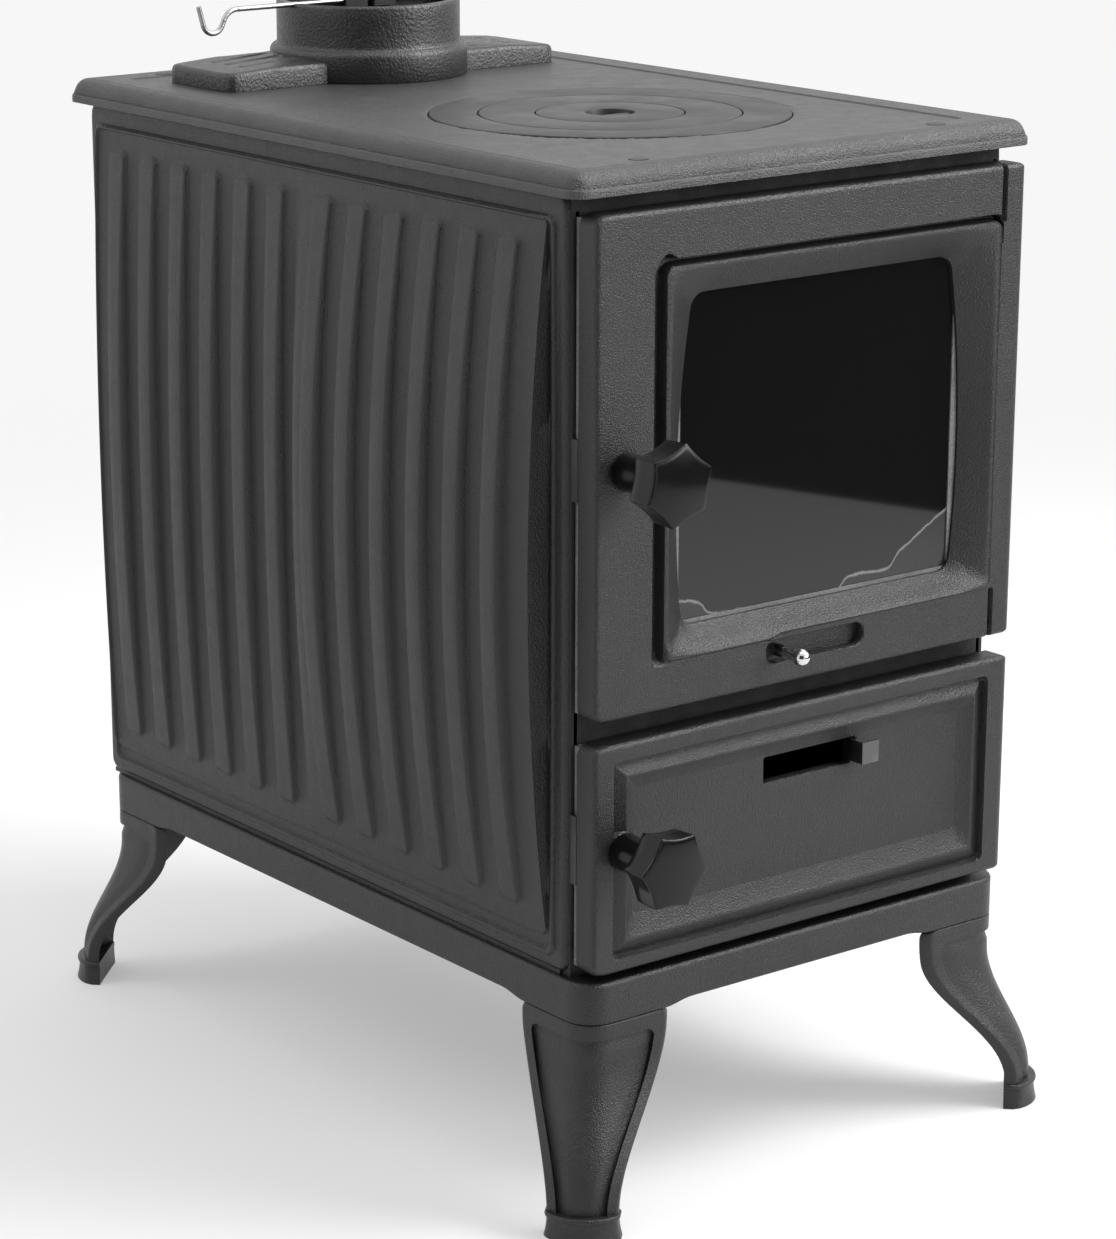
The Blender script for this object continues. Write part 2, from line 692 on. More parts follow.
def lathe(profile, centre, closed=True, around=144):
    """Body turned about an upright axis: profile holds (radius, height) pairs."""
    angle = np.linspace(0, 2 * math.pi, around, endpoint=False)
    r, z = np.array(profile, float).T
    rings = np.stack([centre[0] + r[:, None] * np.cos(angle), centre[1] + r[:, None] * np.sin(angle),
                      np.repeat(z[:, None], around, 1)], -1)
    return ring_body(rings, closed)


def rounded(corners, radius, steps=4):
    """A closed profile whose corners are each replaced by a small parabola between two points."""
    corners = np.array(corners, float)
    result = []
    for before, here, after in zip(np.roll(corners, 1, 0), corners, np.roll(corners, -1, 0)):
        back, on = np.linalg.norm(before - here), np.linalg.norm(after - here)
        room = min(radius, back / 2.2, on / 2.2)
        start = here + room * ((before - here) / back)
        end = here + room * ((after - here) / on)
        t = np.linspace(0, 1, steps)[:, None]
        result.append((1 - t) ** 2 * start + 2 * t * (1 - t) * here + t ** 2 * end)
    return np.concatenate(result)


def joined(*bodies):
    """Several (points, faces) bodies as one."""
    shift = np.cumsum([0] + [len(points) for points, _ in bodies[:-1]])
    return (np.concatenate([points for points, _ in bodies]),
            np.concatenate([faces + start for (_, faces), start in zip(bodies, shift)]))


print("rings ready")

# %% [markdown]
# ## Side walls
#
# Each side is one casting. Its middle swells outwards, more in the front half
# than in the rear, and twelve upright ribs ride on the swelling, flat at
# their ends and deepest half way up. A thin bead runs round the whole panel.
# Each rib is a rounded rectangle in plan that adds its own height, lowest at
# its two ends, so the loop over the ribs is only a sum.

# %% Side walls
WALL_LINE = 176.0        # the walls' outer faces from the middle
RIBS = 6                 # in each half
RIB_PITCH = 39.0
RIB_FIRST = 53.0
RIB_JUMP = 55.5          # between the two halves
RIB_W = 23.0
RIB_UP = 1.8
RIB_MID = 3.2
RIB_CORNER = 7.5
RIB_FLANK = 1.2          # width of a rib's front flank for each millimetre of its height
RIB_REAR = 6.0           # width of its softer rear flank
RIB_END = 3.5            # length of the sloped ends
BELLY = (14.6, 5.0)      # front and rear half
BELLY_IN = 18.0
BELLY_STEP = 0.8         # the belly's height at its top and bottom
BELLY_SLANT = 0.10       # how far the belly's edge runs out for each millimetre of its height
WALL_T = 6.0
WALL_CORNER = 8.0
FRONT_EDGE = 5.5         # radius of the wall's front edge, beside the doors
BEAD_IN = 11.0
BEAD_W = 4.0
BEAD_UP = 1.6


def rib_places():
    """Distances of the ribs behind the wall's front edge."""
    first = RIB_FIRST + RIB_PITCH * np.arange(RIBS)
    return np.concatenate([first, first[-1] + RIB_JUMP + RIB_PITCH * np.arange(RIBS)])


def add_side_wall(side, name):
    """Swelling wall with twelve ribs. side is -1 for the left and 1 for the right."""
    z0, z1 = wall_low[2], wall_high[2]
    y0, y1 = wall_low[1], wall_high[1]
    ribs = rib_places()
    halfway = (ribs[RIBS - 1] + ribs[RIBS]) / 2
    panel = (BEAD_IN, z0 + 7.5, y1 - 7.5, z1 - 13.0)
    field = (BELLY_IN, z0 + 20.0, ribs[-1] + RIB_PITCH * 0.7, z1 - 15.0)
    rib_z = (z0 + 33.0, z1 - 28.0)

    def outline(y, z):
        """Plan of the wall: a rectangle with round corners."""
        return box_distance(y, z, (y0, z0, y1, z1), WALL_CORNER)

    def sag(y):
        """The belly's greatest height, which goes over from the front half's to the rear half's."""
        return BELLY[0] + (BELLY[1] - BELLY[0]) * smooth(y, halfway - 5, halfway + 5)

    def rib_height(y, z, rib, tall):
        """One rib: its full height in the middle, and flanks that fall with a power of the way out."""
        inside = -box_distance(y, z, (rib - RIB_W / 2, rib_z[0], rib + RIB_W / 2, rib_z[1]), RIB_CORNER)
        flank = np.clip(1 - inside / np.where(y < rib, RIB_FLANK * tall + 0.1, RIB_REAR), 0, 1)
        return np.where(inside > 0, tall * (1 - flank ** 2.2), 0)

    def front(y, z):
        """Rounded edges, a half-round bead, the belly with its sloped border, and the ribs on it."""
        height = -edge_roll(-outline(y, z), 3.0) - edge_roll(y - y0, FRONT_EDGE)
        bead = box_distance(y, z, panel, 8.0) + BEAD_W / 2
        height = height + BEAD_UP * np.sqrt(np.clip(1 - (bead / (BEAD_W / 2)) ** 2, 0, 1))
        inside = -box_distance(y, z, field, 6.0)
        belly = BELLY_STEP + sag(y) * arch(z, field[1], field[3])
        height = height + belly * np.clip(1 + inside / (BELLY_SLANT * belly), 0, 1)
        end = np.clip(1 - np.minimum(z - rib_z[0], rib_z[1] - z) / RIB_END, 0, 1)
        tall = (RIB_UP + RIB_MID * arch(z, *rib_z)) * (1 - 0.9 * end)
        for rib in ribs:
            height = height + rib_height(y, z, rib, tall)
        return height

    def back(y, z):
        """The wall's thickness behind its line, and hollow behind the belly."""
        inside = -box_distance(y, z, field, 6.0) - WALL_T
        return -WALL_T + smooth(inside, 0.0, 6.0) * sag(y) * arch(z, field[1], field[3])

    def place(y, z, height):
        """Heights stand out sideways from the wall's line."""
        return np.stack([side * (WALL_LINE + height), y, z], -1)

    marks = np.concatenate([[y0, BEAD_IN, BEAD_IN + BEAD_W, y1 - 8, y1 - 13, field[2], y1],
                            np.arange(BELLY_IN - 2.0, BELLY_IN + 0.5, 0.4), ribs - RIB_W / 2 + 0.1,
                            ribs + RIB_W / 2])
    across = grid_lines(y0, y1, 5.0, marks, near=(0.0, 0.5, 1.2, 2.2, 3.6, 4.8))
    marks = [z0, panel[1] + 2, field[1] + 2, rib_z[0] + 3, rib_z[0] + 9, rib_z[1] - 9, rib_z[1] - 3,
             field[3] - 2, panel[3] - 2, z1]
    up = grid_lines(z0, z1, 9.0, marks, near=(0.0, 0.9, 2.0, 3.2, 5.0))
    points, faces = slab(across, up, front, back, place, outline)
    add_mesh(name + "_skin", points, faces, "paint", "stove", name)


add_side_wall(-1, "side_wall_left")
add_side_wall(1, "side_wall_right")

# %% [markdown]
# ## Doors
#
# Both doors are slabs whose front lies in one plane. Their right edge is a half
# cylinder round the hinge's axis. Near its two ends a lug of the front frame
# stands in a pocket of the edge, which also leaves the room that the lug needs
# when the door swings. The fronts and hollows are each door's own.

# %% Doors
door_low, door_high = node_box("fire_door")
DOOR_T = door_high[1] - door_low[1]
HINGE_R = DOOR_T / 2
HINGE_X = door_high[0] - HINGE_R
Y_FACE = door_low[1]
DOOR_CORNER = 8.0
DOOR_EDGE = 3.5           # radius of a door's front edges
DOOR_TIP = 0.05           # left off the round edge, where it would end in a sliver
DOOR_BOSS = 14.0          # radius of the boss behind a knob
FIRE_KNOB = (-149.0, 481.0)
ASH_KNOB = (-149.0, 243.0)
LUG_CAP = 3.0             # door material beyond a hinge lug
LUG_ROOM = 8.0            # height of the pocket that a lug stands in
LUG_SIDE = 8.1            # how far the pocket reaches from the hinge towards the middle
LUG_R = 5.4
FAR_BACK = -99.0          # a height behind everything


def place_front(x, z, height):
    """Front of the stove: heights stand out towards -Y from the doors' face."""
    return np.stack([x, Y_FACE - height, z], -1)


def hinge_round(x, sign):
    """Height of the round hinge edge, a half circle, on its front (1) or its back (-1)."""
    reach = np.clip((x - HINGE_X) / HINGE_R, 0, 1)
    return -HINGE_R + sign * HINGE_R * np.sqrt(1 - reach * reach)


def lug_room(x, z, low, high):
    """Front of the lugs' pockets: a circle round the hinge, beyond it a slope, and elsewhere far back."""
    in_lug = (z > low + LUG_CAP) & (z < low + LUG_CAP + LUG_ROOM)
    in_lug = in_lug | ((z < high - LUG_CAP) & (z > high - LUG_CAP - LUG_ROOM))
    reach = np.clip((x - HINGE_X) / LUG_R, -1, 1)
    bore = np.where(np.abs(x - HINGE_X) < LUG_R, -HINGE_R + LUG_R * np.sqrt(1 - reach * reach), -HINGE_R)
    sweep = np.minimum(-HINGE_R + 0.6 + 0.66 * np.maximum(x - HINGE_X, 0), -0.4 * HINGE_R)
    room = np.where(x > HINGE_X + LUG_R * 0.75, sweep, bore)
    return np.where(in_lug & (x > HINGE_X - LUG_SIDE), room, FAR_BACK)


def add_door(name, low, high, relief, hollow, openings, own_x, own_z, step, near):
    """Door from its own relief, hollow, openings and grid marks, with the hinge edge and lug pockets."""

    def front(x, z):
        """The relief, held behind the half circle beyond the hinge."""
        height = relief(x, z)
        return np.where(x > HINGE_X, np.minimum(height, hinge_round(x, 1)), height)

    def back(x, z):
        """The hollow, held before the half circle and the pockets, and always behind the front."""
        height = hollow(x, z)
        height = np.where(x > HINGE_X, np.maximum(height, hinge_round(x, -1)), height)
        return np.minimum(np.maximum(height, lug_room(x, z, low[2], high[2])), front(x, z) - 0.6)

    def outline(x, z):
        """Plan of the door: its rectangle less the openings."""
        plan = box_distance(x, z, (low[0], low[2], high[0] - DOOR_TIP, high[2]), DOOR_CORNER)
        return np.maximum.reduce([plan] + [-gap for gap in openings(x, z)])

    marks = [low[0], *own_x, HINGE_X - LUG_SIDE, HINGE_X, HINGE_X + 4, high[0] - DOOR_TIP]
    across = grid_lines(low[0], high[0] - DOOR_TIP, 6.0, marks, near)
    marks = [low[2], low[2] + LUG_CAP, low[2] + LUG_CAP + LUG_ROOM, high[2] - LUG_CAP - LUG_ROOM,
             high[2] - LUG_CAP, *own_z, high[2]]
    up = grid_lines(low[2], high[2], step, marks, near)
    points, faces = slab(across, up, front, back, place_front, outline)
    add_mesh(name + "_skin", points, faces, "paint", name, name)


print("doors: %.1f mm thick, hinge at X %.1f" % (DOOR_T, HINGE_X))

# %% [markdown]
# ## Fire door
#
# The fire door's front is a flat C-shaped band, a groove beside and above the
# window frame, and a frame that slopes in to the glass. All of it is one
# height over the door's plan. The slope is worked out from two distances, to
# the frame's crest and to the opening, so that it runs evenly between a
# rectangle outside and a slightly barrel-shaped opening inside.

# %% Fire door
CREST = (-119.0, 356.6, 155.0, 600.0)
CREST_R = 7.0
CREST_LIFT = 3.0          # how much the crest's lower edge rises over the air slot
SIGHT_X = 17.6            # middle of the opening
SIGHT_HALF = 117.0
SIGHT_BOW = 7.3e-4        # how much the opening's sides curve in towards their ends
SIGHT_LOW = 20            # how far below its middle the opening is widest
SIGHT_Z = (374.0, 579.5)
SIGHT_R = 9.0
GROOVE_W = 9.5
GROOVE_TOP = 4.6
GROOVE_D = 7.5
SEAM_D = 3.5              # depth of the short seams above and below the crest's right side
SLOPE_D = 13.4            # depth of the slope at the glass
SLOPE_FLAT = 0.14         # share of the way in that stays nearly flat
FIRE_SLOT = (-36.0, 342.0, 45.0, 356.5)
FIRE_SLOT_R = 7.1
FIRE_WEB = 8.9            # thickness of the casting in its hollow


def sight_distance(x, z):
    """Signed distance to the glass opening, whose half width shrinks with the height's square."""
    middle = (SIGHT_Z[0] + SIGHT_Z[1]) / 2 - SIGHT_LOW
    half = SIGHT_HALF - SIGHT_BOW * (z - middle) ** 2
    dx = np.abs(x - SIGHT_X) - half + SIGHT_R
    dz = np.abs(z - sum(SIGHT_Z) / 2) - (SIGHT_Z[1] - SIGHT_Z[0]) / 2 + SIGHT_R
    return round_distance(dx, dz, SIGHT_R)


def crest_distance(x, z):
    """Signed distance to the window frame's crest, stepped up over the air slot."""
    low = CREST[1] + CREST_LIFT * smooth(x, -36.0, -23.0)
    dx = np.maximum(CREST[0] - x, x - CREST[2]) + CREST_R
    dz = np.maximum(low - z, z - CREST[3]) + CREST_R
    return round_distance(dx, dz, CREST_R)


def fire_relief(x, z):
    """Height of the fire door's front.

    The groove is a band of distances outside the crest, and two short seams
    stand above and below the crest's right side. The slope falls with the
    share of the way from the crest to the opening.
    """
    box = (door_low[0], door_low[2], door_high[0], door_high[2])
    inside = -box_distance(x, z, box, DOOR_CORNER)
    height = -edge_roll(np.minimum(inside, np.where(x > HINGE_X, z - box[1], inside)), DOOR_EDGE)
    crest = crest_distance(x, z)
    sight = sight_distance(x, z)
    wide = np.where(z >= CREST[3] - 4, GROOVE_TOP + (GROOVE_W - GROOVE_TOP) * smooth(CREST[0] - x, -9, 1),
                    GROOVE_W)
    in_groove = (x < CREST[2] + 1) & (z > CREST[1] - 1) & ((x < CREST[0] + 7) | (z > CREST[3] - 7))
    groove = smooth(crest, 0.0, 1.6) * (1 - smooth(crest, wide - 1.4, wide))
    groove = groove * smooth(z - CREST[1] + 2, 0, 9.0)
    height = height - np.where(in_groove, groove * GROOVE_D, 0)
    seam = smooth(x, CREST[2] - 1.2, CREST[2] + 0.4) * (1 - smooth(x, CREST[2] + 1.8, CREST[2] + 3.6))
    for low, high in ((CREST[3] - 2, box[3] + 2), (box[1] - 2, CREST[1] + 4)):
        height = height - SEAM_D * seam * smooth(z, low, low + 2) * (1 - smooth(z, high - 2, high))
    under = np.where((x > CREST[0] - 2) & (x < CREST[2]) & (z < CREST[1] + 14), 1.0, 0.0)
    height = height + 1.6 * under * smooth(-crest, 0.0, 2.0) * (1 - smooth(z, CREST[1] + 6, CREST[1] + 14))
    run = np.clip(-crest / np.maximum(-crest + np.maximum(sight, 0.01), 0.01), 0, 1)
    slope = np.clip((run - SLOPE_FLAT) / (1 - SLOPE_FLAT), 0, 1)
    fallen = height - SLOPE_D * slope ** 1.1 - 0.6 * np.clip(1 - run / SLOPE_FLAT, 0, 1) ** 2
    height = np.where(crest < 0, fallen, height)
    return height - edge_roll(np.maximum(box_distance(x, z, FIRE_SLOT, FIRE_SLOT_R), 0), 1.0)


def fire_hollow(x, z):
    """Height of the back: hollow but for the rim, the window's block and the knob's boss."""
    pocket = (door_low[0] + 15, door_low[2] + 12, HINGE_X - 20, door_high[2] - 13)
    block = (CREST[0] - 4, CREST[1] - 4, CREST[2] + 4, CREST[3] + 4)
    boss = np.hypot(x - FIRE_KNOB[0], z - FIRE_KNOB[1]) - DOOR_BOSS
    depth = smooth(-box_distance(x, z, pocket, 4.0), 0, 2) * smooth(box_distance(x, z, block, 4.0), 0, 2)
    depth = depth * smooth(boss, 0, 2)
    slide_run = (FIRE_SLOT[0] - 10, FIRE_SLOT[1] - 5, FIRE_SLOT[2] + 70, FIRE_SLOT[3] + 5)
    slide_room = smooth(-box_distance(x, z, slide_run, 2.0), 0, 1.5)
    return np.maximum(-DOOR_T + (DOOR_T - FIRE_WEB) * depth, -DOOR_T + (DOOR_T - FIRE_WEB) * slide_room)


def fire_openings(x, z):
    """Signed distances to the window and to the air slot."""
    return sight_distance(x, z), box_distance(x, z, FIRE_SLOT, FIRE_SLOT_R)


add_door("fire_door", door_low, door_high, fire_relief, fire_hollow, fire_openings,
         [CREST[0] - GROOVE_W, CREST[0], CREST[0] + 4, -99.0, -93.0, -36.0, -30.0, 39.0, 45.0, 128.0, 134.0,
          CREST[2], CREST[2] + 3],
         [342.0, 349.0, 356.5, CREST[1] + 3, CREST[1] + 8, SIGHT_Z[0], SIGHT_Z[1] - 2, SIGHT_Z[1], CREST[3],
          CREST[3] + GROOVE_TOP], 6.0, (0.0, 0.55, 1.2, 2.0, 3.0, 4.2, 6.0))

# %% [markdown]
# ## Ash door
#
# The ash door has a flat border, a step down, and a ridge round its panel. The
# ridge's outer slope looks up at the top and catches the most light. The
# heights follow from two distances, one inside the step's rectangle and one to
# the panel, and a round boss under the knob stands up to the border again.

# %% Ash door
ash_low, ash_high = node_box("ash_door")
ASH_CUT = (-157.0, 173.0, 157.0, 301.0)
ASH_CREST_IN = 10.5
ASH_PANEL = (-137.0, 198.5, 135.0, 280.0)
ASH_SLOT = (-31.0, 262.0, 46.0, 278.5)
ASH_STEP = 4.6
ASH_FALL = 5.2            # how much lower the panel is than the ridge
ASH_WEB = 11.5            # thickness of the casting in its hollow


def ash_relief(x, z):
    """Height of the front: down the step, up the ridge's straight slope, then down to the panel."""
    inside = -box_distance(x, z, (ash_low[0], ash_low[2], ash_high[0], ash_high[2]), DOOR_CORNER)
    cut = -box_distance(x, z, ASH_CUT, 5.0)
    panel = -box_distance(x, z, ASH_PANEL, 3.0)
    down = ASH_STEP * smooth(cut, 0.0, 1.4)
    rise = (ASH_STEP - 0.8) * np.clip((cut - 2.2) / (ASH_CREST_IN - 2.2), 0, 1)
    run = np.clip((cut - ASH_CREST_IN - 1) / np.maximum(cut - ASH_CREST_IN - 1 - panel, 0.5), 0, 1)
    fall = np.where(cut > ASH_CREST_IN + 1, ASH_FALL * run ** 0.8, 0)
    height = -edge_roll(inside, DOOR_EDGE) - down + rise - fall
    boss = 13.0 - np.hypot(x - ASH_KNOB[0], z - ASH_KNOB[1])
    height = np.maximum(height, -8.0 + 7.6 * smooth(boss, -0.5, 1.5))
    return height - edge_roll(np.maximum(box_distance(x, z, ASH_SLOT, 1.5), 0), 1.2)


def ash_hollow(x, z):
    """Height of the back: a rim and the knob's boss round a wide hollow."""
    hollow = (ash_low[0] + 15, ash_low[2] + 14, HINGE_X - 18, ash_high[2] - 14)
    boss = np.hypot(x - ASH_KNOB[0], z - ASH_KNOB[1]) - DOOR_BOSS
    depth = smooth(-box_distance(x, z, hollow, 4.0), 0, 2)
    return -DOOR_T + (DOOR_T - ASH_WEB) * depth * smooth(boss, 0, 2)


add_door("ash_door", ash_low, ash_high, ash_relief, ash_hollow,
         lambda x, z: [box_distance(x, z, ASH_SLOT, 1.5)],
         [ASH_CUT[0], ASH_CUT[0] + 9, ASH_PANEL[0], -31.0, 46.0, ASH_PANEL[2], ASH_CUT[2] - 9, ASH_CUT[2]],
         [ASH_CUT[1], ASH_CUT[1] + 9, ASH_PANEL[1], 230.0, 256.0, 262.0, 278.5, ASH_CUT[3] - 10,
          ASH_CUT[3] - 1], 5.0, (0.0, 0.6, 1.3, 2.2, 3.4, 5.0))

# %% [markdown]
# ## Legs
#
# A leg is a curved shell that stands diagonally under a corner. Across, it
# follows the base's round corner; downwards, its crest swings out in an S and
# its width narrows to the foot. A raised border runs down both edges and
# across the top. The foot is a short block, curved in front and straight
# behind, with a thin rim round its upper edge.

# %% Legs
base_low, base_high = node_box("base_plate")
LEG_H = base_low[2]
SKIRT_DROP = 3.0         # how much deeper the base's skirt is over a leg
LEG_TOP = LEG_H - SKIRT_DROP
LEG_T = 8.0
LEG_W_TOP = 45.5
LEG_W_LOW = 22.5
LEG_SPLAY = 31.0
CORNER_R = 20.0
FOOT_H = 15.0
FOOT_TOP = 17.0
FOOT_ROUND = 30.0        # radius of the foot in plan
FOOT_DEPTH = 17.0        # from the leg's crest to the foot's straight back
BORDER_W = 6.5           # raised border at the sides and at the top
BORDER_TOP = 10.5
SPLIT = 0.72             # where the border starts, as a share of the grid's half
RECESS = 3.2


def ease(t):
    """Half a cosine from 0 to 1."""
    return 0.5 - 0.5 * np.cos(np.pi * np.clip(t, 0, 1))


def leg_crest(z):
    """How far the leg's middle stands out along the diagonal: an S from the corner to the splay."""
    return LEG_SPLAY * ease((LEG_H - 25 - z) / (LEG_H - 45)) - CORNER_R * (math.sqrt(2) - 1)


def leg_half(z):
    """Half the leg's width, which narrows to the foot in an S."""
    return LEG_W_TOP - (LEG_W_TOP - LEG_W_LOW) * ease((LEG_H - 10 - z) / (LEG_H - 10 - FOOT_H))


def corner_fall(w, z):
    """How far the face falls back at a sideways distance: a circle, then a slope, less near the foot."""
    w = np.abs(w)
    bent = np.where(w < CORNER_R / math.sqrt(2), CORNER_R - np.sqrt(np.maximum(CORNER_R ** 2 - w ** 2, 0)),
                    w - CORNER_R * (math.sqrt(2) - 1))
    return bent * (1 - 0.4 * ease((LEG_H - 25 - z) / (LEG_H - 25 - FOOT_H)))


def leg_across(share, z):
    """Sideways place on a leg: the grid line at SPLIT follows the border's inner edge."""
    inner = leg_half(z) - BORDER_W
    size = np.abs(share)
    beyond = inner + (size - SPLIT) / (1 - SPLIT) * BORDER_W
    return np.sign(share) * np.where(size < SPLIT, size / SPLIT * inner, beyond)


def corner_distance(side, up, radius):
    """Signed distance to a corner at (0, 0) rounded by a radius, negative below and beside it."""
    return round_distance(side + radius, up + radius, radius)


def foot_rim(z):
    """Half-round rim along the foot's upper edge, a circle's height stretched over its width."""
    return 1.3 * np.sqrt(np.clip(1 - ((z - FOOT_TOP + 1.8) / 1.8) ** 2, 0, 1))


def add_leg(corner, name):
    """Leg under one corner of the base, given as [x, y, outward x, outward y]."""
    turn = math.atan2(corner[3], corner[2])

    def place_leg(s, w, z):
        """Distances out along the diagonal and sideways of it, turned to the stove's axes."""
        x = corner[0] + s * math.cos(turn) - w * math.sin(turn)
        y = corner[1] + s * math.sin(turn) + w * math.cos(turn)
        return np.stack([x, y, z + 0 * x], -1)

    def shell(share, z, height):
        """Place on the shell: the crest less the fall beside it."""
        w = leg_across(share, z)
        return place_leg(leg_crest(z) - corner_fall(w, z) + height, w, z)

    def outline(share, z):
        """Plan of the shell, with its upper corners round."""
        return corner_distance(np.abs(leg_across(share, z)) - leg_half(z), z - LEG_TOP, 5.0)

    def front(share, z):
        """Sunk panel, deepest just inside its border, and rounded edges."""
        edge = leg_half(z) - np.abs(leg_across(share, z))
        inside = -corner_distance(BORDER_W - edge, z - LEG_TOP + BORDER_TOP, 6.0)
        sunk = RECESS * np.clip(inside / 0.9, 0, 1) - 0.75 * RECESS * smooth(inside, 0.9, 10.0)
        return -sunk - edge_roll(edge, 1.6) - edge_roll(LEG_TOP - z, 1.6)

    half = np.concatenate([np.linspace(0.0, 0.55, 12), [0.59, 0.62, 0.645, 0.665, 0.68, 0.69, 0.70, 0.708],
                           [0.714, SPLIT, 0.735, 0.76, 0.80, 0.85, 0.90, 0.93, 0.95, 0.97, 0.985, 1.0]])
    across = np.concatenate([-half[:0:-1], half])
    up = grid_lines(8.0, LEG_TOP, 3.0, [LEG_TOP - BORDER_TOP, LEG_TOP], (0.0, 0.5, 1.0, 1.8, 3.0, 4.5))
    casting = slab(across, up, front, level(-LEG_T), shell, outline)

    def foot_line(share, z):
        """Sideways place and reach of the foot's curved front: a circle that flares at the floor."""
        flare = 2.0 * np.clip(1 - z / 13.0, 0, 1) ** 2
        w = share * (LEG_W_LOW + flare + foot_rim(z))
        return w, 3.0 + flare - FOOT_ROUND + np.sqrt(FOOT_ROUND ** 2 - w ** 2)

    def foot(share, z, height):
        """Place on the foot, from its curved front."""
        w, out = foot_line(share, z)
        return place_leg(leg_crest(20.0) + out + height, w, z)

    def foot_front(share, z):
        """The rim, and rounded edges at the sides and the floor."""
        return foot_rim(z) - edge_roll((1 - np.abs(share)) * LEG_W_LOW, 2.0) - edge_roll(z, 0.8)

    def foot_back(share, z):
        """Straight back at a set depth."""
        return -FOOT_DEPTH - foot_line(share, z)[1]

    share = np.linspace(-1, 1, 49)
    rise = np.array([0, 0.4, 0.8, 2, 4, 6, 8, 10, 12, 13.2, 13.5, 13.9, 14.5, 15.2, 16, 16.5, 16.9, FOOT_TOP])
    block = slab(share, rise, foot_front, foot_back, foot,
                 lambda s, z: np.maximum(np.abs(s) - 1, z - FOOT_TOP))
    points, faces = joined(casting, block)
    add_mesh(name + "_skin", points, faces, "paint", "stove", name)


for end, y_corner in ((-1, base_low[1]), (1, base_high[1])):
    for side in (-1, 1):
        label = "leg_%s_%s" % ("front" if end < 0 else "back", "left" if side < 0 else "right")
        add_leg((side * base_high[0], y_corner, side, end), label)

# %% [markdown]
# ## Base
#
# The base is a shallow tray turned over. One ring of points runs along its
# outline, and moving that ring in and up again and again makes the skirt with
# its rounded edges. Over the legs the skirt is a little deeper.

# %% Base
BASE_T = 6.0
SKIRT_EDGE = 3.0          # radius of the skirt's upper edge
LEG_REACH = 64.3          # how far a leg reaches along the skirt from the base's corner
DROP_RUN = 22.0           # length over which the skirt's lower edge comes down to a leg
PLINTH_H = 3.0
PLINTH_IN = 2.0
PLINTH_W = 12.0
FRAME_T = 8.0
BOSS_IN = 32.0
BOSS_R = (4.1, 10.0)      # a leg bolt's hole and the boss round it


def skirt_line():
    """Points of the base's outline, their outward directions and the skirt's extra depth there."""
    x, y0, y1 = base_high[0], base_low[1], base_high[1]
    corners = np.array([[-x, y0], [x, y0], [x, y1], [-x, y1]])
    points, normals, depths = [], [], []
    for start, end in zip(corners, np.roll(corners, -1, 0)):
        length = np.linalg.norm(end - start)
        along = (end - start) / length
        out = np.array([along[1], -along[0]])
        near = np.concatenate([[CORNER_R, 45.0], LEG_REACH + np.linspace(0, DROP_RUN, 9), [120.0]])
        t = np.concatenate([near, length - near[::-1]])
        points.append(start + t[:, None] * along)
        normals.append(np.repeat(out[None], len(t), 0))
        depths.append(SKIRT_DROP * (1 - smooth(np.minimum(t, length - t), LEG_REACH, LEG_REACH + DROP_RUN)))
        angle = np.radians(np.arange(10, 81, 10))[:, None]
        around = np.cos(angle) * out + np.sin(angle) * along
        points.append(end - CORNER_R * (along + out) + CORNER_R * around)
        normals.append(around)
        depths.append(np.full(len(around), SKIRT_DROP))
    return np.concatenate(points), np.concatenate(normals), np.concatenate(depths)


def upright(corners, z0, z1):
    """Straight body on a four-cornered plan."""
    plan = np.array(corners, float)
    return ring_body([np.column_stack([plan, np.full(4, z)]) for z in (z0, z1)])


def add_base():
    """Tray with its skirt, the plinth that the walls stand on and the bosses over the legs."""
    points, normals, depths = skirt_line()
    z0, z1 = base_low[2], wall_low[2] - PLINTH_H
    roll = np.linspace(0, math.pi / 2, 6)
    profile = [(-BASE_T, z1 - BASE_T, 0), (-BASE_T, z0, 1), (-0.8, z0, 1), (0.0, z0 + 0.8, 1)]
    profile += [(-SKIRT_EDGE * (1 - math.cos(a)), z1 - SKIRT_EDGE * (1 - math.sin(a)), 0) for a in roll]
    rings = [np.column_stack([points + move * normals, z - deep * depths]) for move, z, deep in profile]
    bodies = [ring_body(rings)]
    x, y0, y1 = WALL_LINE - PLINTH_IN, FRAME_T, wall_high[1] - PLINTH_IN
    inner_x, inner_y0, inner_y1 = x + PLINTH_IN - PLINTH_W, 2 * FRAME_T, y1 + PLINTH_IN - PLINTH_W
    outer = np.array([[-x, y0], [x, y0], [x, y1], [-x, y1]])
    inner = np.array([[-inner_x, inner_y0], [inner_x, inner_y0], [inner_x, inner_y1], [-inner_x, inner_y1]])
    steps = [(outer, z1), (outer, wall_low[2]), (inner, wall_low[2]), (inner, z1)]
    bodies.append(ring_body([np.column_stack([plan, np.full(4, z)]) for plan, z in steps], closed=True))
    step_x = x - PLINTH_IN
    sill = [[-step_x, 0], [step_x, 0], [step_x, FRAME_T], [-step_x, FRAME_T]]
    bodies.append(upright(sill, z1, wall_low[2]))
    hole, boss = BOSS_R
    for cx in (-base_high[0] + BOSS_IN, base_high[0] - BOSS_IN):
        for cy in (base_low[1] + BOSS_IN, base_high[1] - BOSS_IN):
            wall = [(hole, z0), (boss, z0), (boss, z1 - BASE_T), (hole, z1 - BASE_T)]
            bodies.append(lathe(wall, (cx, cy), around=32))
    points, faces = joined(*bodies)
    add_mesh("base_plate_skin", points, faces, "paint", "stove", "base_plate")


add_base()

